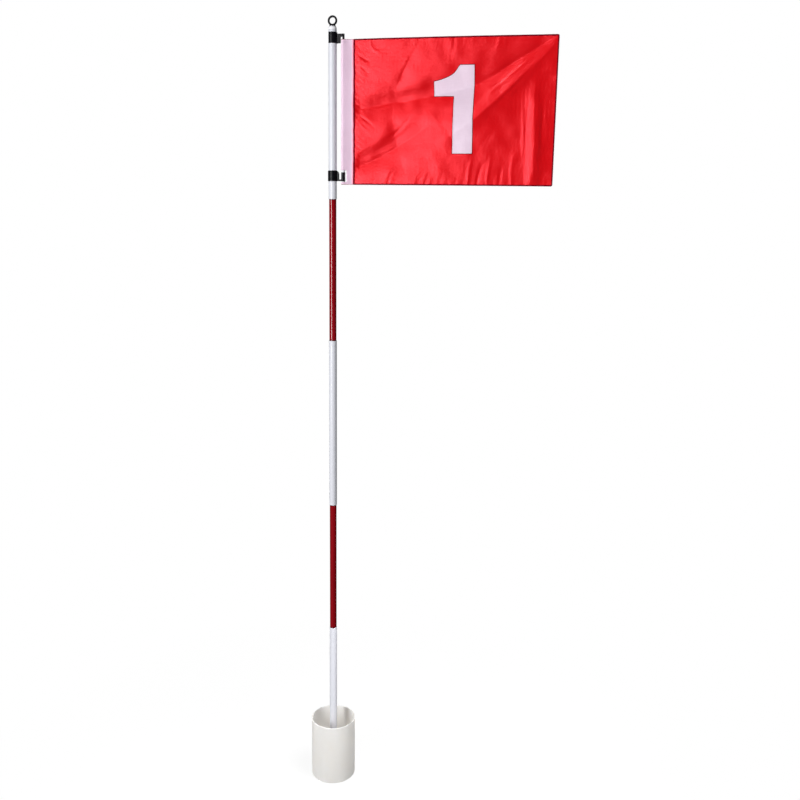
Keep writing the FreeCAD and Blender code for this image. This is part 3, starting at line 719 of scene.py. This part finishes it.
def make_hoist_seam(sheet):
    """The panel's overlocked hoist edge over the sleeve, on both faces, with a pale line beside it."""
    lift = 1.15 * MM
    line_lift = CLOTH_HALF + 0.62 * MM
    line_gap = 3.1 * MM
    wander_at = np.linspace(FLAG_BOTTOM, FLAG_TOP, 30)
    wander = rng.normal(0, 0.28 * MM, 30)
    for name, facing in (("front", 1.0), ("back", -1.0)):
        places = walk([(SEAM, FLAG_BOTTOM + 0.5 * MM), (SEAM, FLAG_TOP - 0.5 * MM)], 1.0 * MM)
        places[:, 0] = SEAM + 0.3 * MM + np.interp(places[:, 1], wander_at, wander)
        outward = np.tile((0.0, -facing, 0.0), (len(places), 1))
        centres = sheet.point(places)
        centres[:, 1] = -facing * lift
        path = rope_path(centres, outward)
        rope("hoist_seam_" + name, path, (1.5 * MM, 0.4 * MM), DARK_THREAD, "edge_thread")
        thread_coil("hoist_seam_loops_" + name, path, (1.65 * MM, 0.5 * MM), pitch=1.4 * MM,
                    radius=0.25 * MM)
        beside = centres - np.array((line_gap, 0.0, 0.0))
        beside[:, 1] = -facing * line_lift
        rope("seam_allowance_" + name, (beside,) + path[1:], (1.5 * MM, 0.35 * MM), PINK_THREAD,
             "white_cloth", pulse=stitch_pulse(len(beside), 5, 0.08))


# ---------------------------------------------------------------- the numeral

STEM_WIDTH = 41 * MM
HEAD_WIDTH = 29.3 * MM
ARM_LOW = 117.5 * MM
ARM_HIGH = 146 * MM


def numeral_outline(grow=0.0):
    """Corners of the figure one, with its throat as a short curve, in flat metres."""
    left, right = NUMERAL_LOW.x, NUMERAL_HIGH.x
    bottom, top = NUMERAL_LOW.z, NUMERAL_HIGH.z
    stem = right - STEM_WIDTH
    head = right - HEAD_WIDTH
    arm_low = bottom + ARM_LOW
    arm_high = bottom + ARM_HIGH
    throat = [(left, arm_high), (left + 0.34 * (head - left), arm_high + 0.15 * (top - arm_high)),
              (left + 0.74 * (head - left), arm_high + 0.46 * (top - arm_high)), (head, top)]
    curve = smooth_path(throat, 6)[::-1]
    corners = [(stem, bottom), (right, bottom), (right, top)]
    corners += [tuple(place) for place in curve]
    corners += [(left, arm_low), (stem, arm_low)]
    return offset_outline(np.array(corners), grow)


def offset_outline(corners, grow):
    """Move a closed anticlockwise outline outwards by grow, mitring its corners."""
    before = np.roll(corners, 1, axis=0)
    after = np.roll(corners, -1, axis=0)
    result = []
    for previous, here, following in zip(before, corners, after):
        arriving = (here - previous) / np.linalg.norm(here - previous)
        leaving = (following - here) / np.linalg.norm(following - here)
        n1 = np.array((arriving[1], -arriving[0]))
        n2 = np.array((leaving[1], -leaving[0]))
        mitre = n1 + n2
        result.append(here + mitre * (grow / max(0.3, 0.5 * (mitre @ mitre))))
    return np.array(result)


def make_patch(name, sheet, outline, low, high, facing, material, slot, *stands_for):
    """A closed cloth patch over an outline, from one height above the sheet to another."""
    rim = walk([tuple(c) for c in outline], 2.0 * MM, closed=True)
    lowest, highest = rim.min(axis=0), rim.max(axis=0)
    spacing = 2.4 * MM
    xs = np.arange(lowest[0] + spacing / 2, highest[0], spacing)
    zs = np.arange(lowest[1] + spacing / 2, highest[1], spacing)
    inside = [(x, z) for x in xs for z in zs if well_inside((x, z), rim, 1.1 * MM)]
    flat = [Vector(p) for p in rim] + [Vector(p) for p in inside]
    edges = [(k, (k + 1) % len(rim)) for k in range(len(rim))]
    points, _, faces, _, _, _ = delaunay_2d_cdt(flat, edges, [], 1, 1e-7)
    places = np.array([tuple(p) for p in points])
    top = sheet.point(places, facing * high)
    under = sheet.point(places, facing * low)
    count = len(places)
    upper = [tuple(f) if facing > 0 else tuple(f)[::-1] for f in faces]
    lower = [tuple(v + count for v in reversed(f)) for f in upper]
    walls = [(b, a, a + count, b + count) for a, b in open_edges(upper)]
    make_piece(name, np.concatenate([top, under]), upper + lower + walls, material, "flag", slot,
               *stands_for)


def open_edges(faces):
    """Directed edges that only one face uses."""
    used = {}
    for face in faces:
        for a, b in zip(face, face[1:] + face[:1]):
            used[(a, b)] = True
    return [(a, b) for a, b in used if (b, a) not in used]


def well_inside(place, rim, margin):
    """Whether a place is inside the rim and at least margin from every rim point."""
    offsets = rim - place
    if np.min(np.hypot(offsets[:, 0], offsets[:, 1])) < margin:
        return False
    following = np.roll(rim, -1, axis=0)
    crosses = (rim[:, 1] > place[1]) != (following[:, 1] > place[1])
    rise = np.where(crosses, following[:, 1] - rim[:, 1], 1.0)
    at = rim[:, 0] + (place[1] - rim[:, 1]) / rise * (following[:, 0] - rim[:, 0])
    return bool(np.sum(crosses & (at > place[0])) % 2)


def make_numerals(sheet):
    """Figure one on both faces: a white patch, a raised white satin edge and a dark thread line that also
    serves as painted shadow along the figure's edge.
    """
    for side_name, facing in (("front", 1.0), ("back", -1.0)):
        low = CLOTH_HALF - 0.05 * MM
        high = CLOTH_HALF + 0.3 * MM
        make_patch("numeral_cloth_" + side_name, sheet, numeral_outline(), low, high, facing,
                   NUMERAL_CLOTH, "numeral_cloth", "numeral_" + side_name)
        for kind, grow, half_size, lift, material, slot in (
            ("satin_edge_", -0.5 * MM, (0.95 * MM, 0.35 * MM), high, WHITE_THREAD, "numeral_cloth"),
            # The dark thread line sits on the cloth all round the figure and also stands in for the shadow
            # at the figure's edge: painted shadow.
            ("dark_thread_and_shadow_line_", 1.0 * MM, (0.95 * MM, 0.3 * MM), CLOTH_HALF, DARK_THREAD, "edge_thread"),
        ):
            places = walk([tuple(c) for c in numeral_outline(grow)], 0.6 * MM, closed=True)
            path = rope_path(sheet.point(places, facing * lift), sheet.normal(places) * facing, closed=True)
            rope(kind + side_name, path, half_size, material, slot, closed=True, sections=8,
                 pulse=stitch_pulse(len(places), 3, 0.12))


# ---------------------------------------------------------------- the hoist sleeve

# The plies run flat from the seam to PLIES_MEET, then open round the flag tube, which they leave at
# TUBE_LEAVE. BULGE shapes how they open. The sleeve is drawn in over CLIP_TUCK below its top, so that
# it swings clear of the upper clip.
PLIES_MEET = FLAG_AXIS + 18.0 * MM
STITCH_LINE = FLAG_AXIS + 18.8 * MM
PLY_HALF = CLOTH_HALF + 0.3 * MM
TUBE_SLACK = 1.15 * MM
TUBE_LEAVE = math.radians(72)
BULGE = 1.25
CLIP_TUCK = 14.0 * MM


def sleeve_section(slack, lean, tuck):
    """The folded sleeve's middle line from the front ply's edge round the tube to the back ply's edge.

    A tuck of 1 draws the plies together close behind the tube; 0 lets them bulge.
    """
    round_radius = (FLAG_TUBE_HIGH.x - FLAG_AXIS) + TUBE_SLACK + slack
    leave_x = FLAG_AXIS + round_radius * math.cos(TUBE_LEAVE)
    leave_y = -round_radius * math.sin(TUBE_LEAVE)
    front = [(x, -PLY_HALF) for x in np.linspace(SEAM, PLIES_MEET, 8)]
    for t in (0.2, 0.4, 0.6, 0.8):
        ease = t ** (BULGE + tuck)
        front.append((PLIES_MEET + (leave_x - PLIES_MEET) * t, -PLY_HALF + (leave_y + PLY_HALF) * ease))
    for angle in np.linspace(TUBE_LEAVE, math.pi, 9):
        front.append((FLAG_AXIS + round_radius * math.cos(angle), -round_radius * math.sin(angle)))
    back = [(x, -y) for x, y in front[-2::-1]]
    section = np.array(front + back)
    section[:, 1] += lean * np.clip((PLIES_MEET - section[:, 0]) / (PLIES_MEET - FLAG_AXIS), 0.0, 1.0)
    return section


def make_sleeve():
    """Two-ply white sleeve with uneven slack and a window for the lower clip; returns its rows."""
    window_low = LOWER_CLIP_LOW.z - 1.6 * MM
    window_high = LOWER_CLIP_HIGH.z + 1.0 * MM
    heights = np.concatenate([
        np.linspace(FLAG_BOTTOM, window_low, 5),
        np.linspace(window_low, window_high, 15)[1:],
        np.linspace(window_high, FLAG_TOP, 110)[1:],
    ])
    wander = np.interp(heights, np.linspace(FLAG_BOTTOM, FLAG_TOP, 22), rng.normal(0, 1, 22))
    lean = np.interp(heights, np.linspace(FLAG_BOTTOM, FLAG_TOP, 12), rng.normal(0, 1, 12))
    tuck = np.clip((heights - (FLAG_TOP - CLIP_TUCK)) / (CLIP_TUCK / 2), 0.0, 1.0)
    slack = 0.25 * MM * wander * (1 - tuck)
    shift = 0.3 * MM * lean * (1 - tuck)
    rows = np.array([
        [(x, y, z) for x, y in sleeve_section(slack[k], shift[k], tuck[k])]
        for k, z in enumerate(heights)
    ])
    count, across = rows.shape[:2]
    open_from = FLAG_AXIS + 6.0 * MM
    faces = []
    for i in range(count - 1):
        in_window = window_low - 1e-6 <= heights[i] and heights[i + 1] <= window_high + 1e-6
        for j in range(across - 1):
            nearest = min(rows[i, j, 0], rows[i, j + 1, 0])
            if in_window and nearest < open_from:
                continue
            a = i * across + j
            faces.append((a, a + 1, a + across + 1, a + across))
    piece = make_piece("hoist_sleeve_cloth", rows.reshape(-1, 3), faces, WHITE_CLOTH,
                       "flag", "white_cloth", "hoist_sleeve")
    finish_cloth(piece, thickness=0.5 * MM)
    return rows


def finish_cloth(piece, thickness):
    """Drop loose points, smooth the sheet once, and thicken it about its middle."""
    bpy.context.view_layer.objects.active = piece
    piece.select_set(True)
    bpy.ops.object.mode_set(mode="EDIT")
    bpy.ops.mesh.select_all(action="SELECT")
    bpy.ops.mesh.delete_loose()
    bpy.ops.mesh.normals_make_consistent(inside=False)
    bpy.ops.object.mode_set(mode="OBJECT")
    smooth = piece.modifiers.new("smooth", "SUBSURF")
    smooth.levels = 1
    smooth.boundary_smooth = "PRESERVE_CORNERS"
    bpy.ops.object.modifier_apply(modifier=smooth.name)
    thick = piece.modifiers.new("thick", "SOLIDIFY")
    thick.thickness = thickness
    thick.offset = 0.0
    thick.use_even_offset = True
    bpy.ops.object.modifier_apply(modifier=thick.name)
    piece.select_set(False)


def make_stitch_line(name, x, facing, spacing, length, radius):
    """A row of single white stitches up the sleeve, sunk into the cloth at both ends."""
    points, faces = [], []
    heights = np.arange(FLAG_BOTTOM + 3 * MM, FLAG_TOP - 3 * MM, spacing)
    window_low = LOWER_CLIP_LOW.z - 3 * MM
    window_high = LOWER_CLIP_HIGH.z + 3 * MM
    surface = -facing * (CLOTH_HALF + 0.55 * MM)
    for z in heights:
        if window_low < z < window_high:
            continue
        start = len(points)
        jitter = rng.normal(0, 0.08 * MM)
        for k in range(5):
            t = k / 4
            swell = math.sin(math.pi * (0.12 + 0.76 * t))
            depth = surface - facing * radius * (1.1 * math.sin(math.pi * t) - 0.35)
            for n in range(6):
                angle = n * math.pi / 3
                points.append((x + jitter + radius * swell * math.cos(angle),
                               depth + radius * swell * math.sin(angle), z + (t - 0.5) * length))
        for k in range(4):
            for n in range(6):
                a = start + k * 6 + n
                b = start + k * 6 + (n + 1) % 6
                faces.append((a, b, b + 6, a + 6))
        faces.append(tuple(start + n for n in range(6))[::-1])
        faces.append(tuple(start + 24 + n for n in range(6)))
    make_piece(name, points, faces, WHITE_THREAD, "flag", "white_cloth")


def make_sleeve_hems(rows):
    """Thin dark thread over the sleeve's top and bottom ends."""
    for name, row in (("sleeve_hem_bottom", rows[0]), ("sleeve_hem_top", rows[-1])):
        centres = cubic_rows(row, 3)
        outward = np.tile((0.0, 0.0, 1.0), (len(centres), 1))
        rope(name, rope_path(centres, outward), (0.5 * MM, 0.4 * MM), DARK_THREAD, "edge_thread",
             sections=8, pulse=stitch_pulse(len(centres), 3, 0.15))


# ---------------------------------------------------------------- stage, light and camera

CAMERA_DISTANCE = 2.006
CAMERA_HEIGHT = 1.396
CAMERA_AZIMUTH = math.radians(15.9)
CAMERA_PITCH = math.radians(12.05)
CAMERA_YAW = math.radians(4.45)
CAMERA_ROLL = math.radians(0.85)
CAMERA_LENS = 39.6


def make_camera():
    """A nearly level camera right of the stick's front, turned so the stick stands left of centre."""
    camera = bpy.data.objects.new("camera", bpy.data.cameras.new("camera"))
    bpy.context.scene.collection.objects.link(camera)
    camera.data.lens = CAMERA_LENS
    camera.data.clip_start = 0.05
    camera.data.clip_end = 60.0
    ahead = Vector((-math.sin(CAMERA_AZIMUTH), math.cos(CAMERA_AZIMUTH), 0.0))
    beside = Vector((math.cos(CAMERA_AZIMUTH), math.sin(CAMERA_AZIMUTH), 0.0))
    heading = ahead * math.cos(CAMERA_YAW) + beside * math.sin(CAMERA_YAW)
    right = beside * math.cos(CAMERA_YAW) - ahead * math.sin(CAMERA_YAW)
    looking = heading * math.cos(CAMERA_PITCH) - Vector((0, 0, math.sin(CAMERA_PITCH)))
    up = heading * math.sin(CAMERA_PITCH) + Vector((0, 0, math.cos(CAMERA_PITCH)))
    rolled_right = right * math.cos(CAMERA_ROLL) + up * math.sin(CAMERA_ROLL)
    rolled_up = up * math.cos(CAMERA_ROLL) - right * math.sin(CAMERA_ROLL)
    turn = Matrix((rolled_right, rolled_up, -looking)).transposed()
    stand = -ahead * CAMERA_DISTANCE + Vector((0, 0, CAMERA_HEIGHT))
    camera.matrix_world = Matrix.Translation(stand) @ turn.to_4x4()
    bpy.context.scene.camera = camera


def make_softbox(name, azimuth, distance, height, aim_height, width, tall, power):
    """A rectangular softbox round the stick, aimed at the stick; azimuth 0 is the flag's front."""
    light = bpy.data.lights.new(name, "AREA")
    light.shape = "RECTANGLE"
    light.size = width
    light.size_y = tall
    light.energy = power
    lamp = bpy.data.objects.new(name, light)
    turn = math.radians(azimuth)
    lamp.location = (distance * math.sin(turn), -distance * math.cos(turn), height)
    aim = Vector((0.0, 0.0, aim_height)) - lamp.location
    lamp.rotation_euler = aim.to_track_quat("-Z", "Y").to_euler()
    bpy.context.scene.collection.objects.link(lamp)
    return lamp


def light_only(lamp, pieces):
    """Let a lamp fall on these pieces and nothing else."""
    lit = bpy.data.collections.new("lit_by_" + lamp.name)
    for piece in pieces:
        lit.objects.link(piece)
    lamp.light_linking.receiver_collection = lit


def make_floor():
    """A wide round floor under the object, finer towards the middle."""
    radius = 9.0
    rings, around = 24, 64
    points = [(0.0, 0.0, 0.0)]
    for i in range(1, rings + 1):
        reach = radius * (i / rings) ** 2
        for k in range(around):
            angle = 2 * math.pi * k / around
            points.append((reach * math.cos(angle), reach * math.sin(angle), 0.0))
    faces = [(0, 1 + k, 1 + (k + 1) % around) for k in range(around)]
    for i in range(rings - 1):
        for k in range(around):
            a = 1 + i * around + k
            b = 1 + i * around + (k + 1) % around
            faces.append((a, a + around, b + around, b))
    mesh = bpy.data.meshes.new("floor")
    mesh.from_pydata(points, [], faces)
    floor = bpy.data.objects.new("floor", mesh)
    bpy.context.scene.collection.objects.link(floor)
    mesh.materials.append(floor_material())
    floor.visible_glossy = False
    return floor


def make_stage():
    """Pale floor that fades into a pale surround, and soft light mostly from the front left."""
    floor = make_floor()
    make_world()
    make_softbox("key_softbox", azimuth=-26, distance=3.0, height=1.45, aim_height=1.1,
                 width=0.7, tall=2.2, power=86.0)
    raking = make_softbox("cloth_softbox", azimuth=-64, distance=4.2, height=5.2, aim_height=1.6,
                          width=1.2, tall=1.2, power=190.0)
    light_only(raking, [piece for piece in bpy.context.scene.objects if piece.type == "MESH"
                        and piece.active_material in (RED_CLOTH, WHITE_CLOTH, PINK_THREAD, DARK_THREAD)])
    cup_light = make_softbox("cup_softbox", azimuth=68, distance=0.9, height=2.3, aim_height=0.1,
                             width=0.8, tall=0.8, power=56.0)
    light_only(cup_light, [floor] + [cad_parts[n] for n in ("cup", "socket_ferrule", "tube_1")])
    for name, azimuth, height, power in (("fill_softbox", 60, 1.2, 9.0), ("back_softbox", 165, 1.3, 8.0)):
        soft = make_softbox(name, azimuth, distance=2.6, height=height, aim_height=0.9,
                            width=1.6, tall=1.6, power=power)
        soft.visible_glossy = False


# How bright the surround looks to the camera, and how bright it is as a light or in a reflection.
BACKDROP = 1.0
FLOOR_BOUNCE = 0.4
WORLD_LIGHT = 0.22
WORLD_REFLECTED = 0.03


def floor_material():
    """Pale paper floor near the object, glowing evenly further out so that no horizon shows."""
    material, tree, surface = shader("pale_floor")
    grain = noise(tree, 40.0, 4.0)
    surface_colour = blend_colour(tree, grain, rgba(0.93, 0.93, 0.93), rgba(0.90, 0.90, 0.90))
    feed(tree, surface, Base_Color=surface_colour, Roughness=0.9, Specular_IOR_Level=0.1)
    path = tree.nodes.new("ShaderNodeLightPath")
    strength = between(tree, path.outputs["Is Camera Ray"], 0.0, 1.0, FLOOR_BOUNCE, BACKDROP)
    glow = add(tree, "ShaderNodeEmission", Color=rgba(1.0, 1.0, 1.0), Strength=strength)
    distance = add(tree, "ShaderNodeVectorMath", {"operation": "LENGTH"}, Vector=place(tree))
    share = between(tree, distance.outputs["Value"], 0.1, 0.9, 0.90, 1.0)
    mix_surfaces(tree, share, surface, glow)
    return material


def make_world():
    """White to the camera, dimmer as a light, and dimmest from the right, which keeps tube edges dark."""
    world = bpy.data.worlds.new("studio")
    bpy.context.scene.world = world
    world.use_nodes = True
    tree = world.node_tree
    background = tree.nodes["Background"]
    background.inputs["Color"].default_value = rgba(1.0, 1.0, 1.0)
    path = tree.nodes.new("ShaderNodeLightPath")
    reflected = between(tree, path.outputs["Is Glossy Ray"], 0.0, 1.0, WORLD_LIGHT, WORLD_REFLECTED)
    direction = add(tree, "ShaderNodeSeparateXYZ", Vector=place(tree))
    dimmed = maths(tree, "MULTIPLY", reflected, between(tree, direction.outputs["X"], 0.1, 0.8, 1.0, 0.1))
    seen = between(tree, path.outputs["Is Camera Ray"], 0.0, 1.0, dimmed, BACKDROP)
    tree.links.new(seen, background.inputs["Strength"])
    bpy.context.scene.view_settings.view_transform = "Standard"
    bpy.context.scene.view_settings.look = "None"


# ---------------------------------------------------------------- build

dress_cad_nodes()
flag = flag_sheet()
make_flag_cloth(flag)
make_overlock(flag)
make_hoist_seam(flag)
make_numerals(flag)
make_sleeve_hems(make_sleeve())
for line_name, line_facing in (("sleeve_stitches_front", 1.0), ("sleeve_stitches_back", -1.0)):
    make_stitch_line(line_name, STITCH_LINE, line_facing, spacing=3.2 * MM, length=2.5 * MM,
                     radius=0.22 * MM)
make_stage()
make_camera()
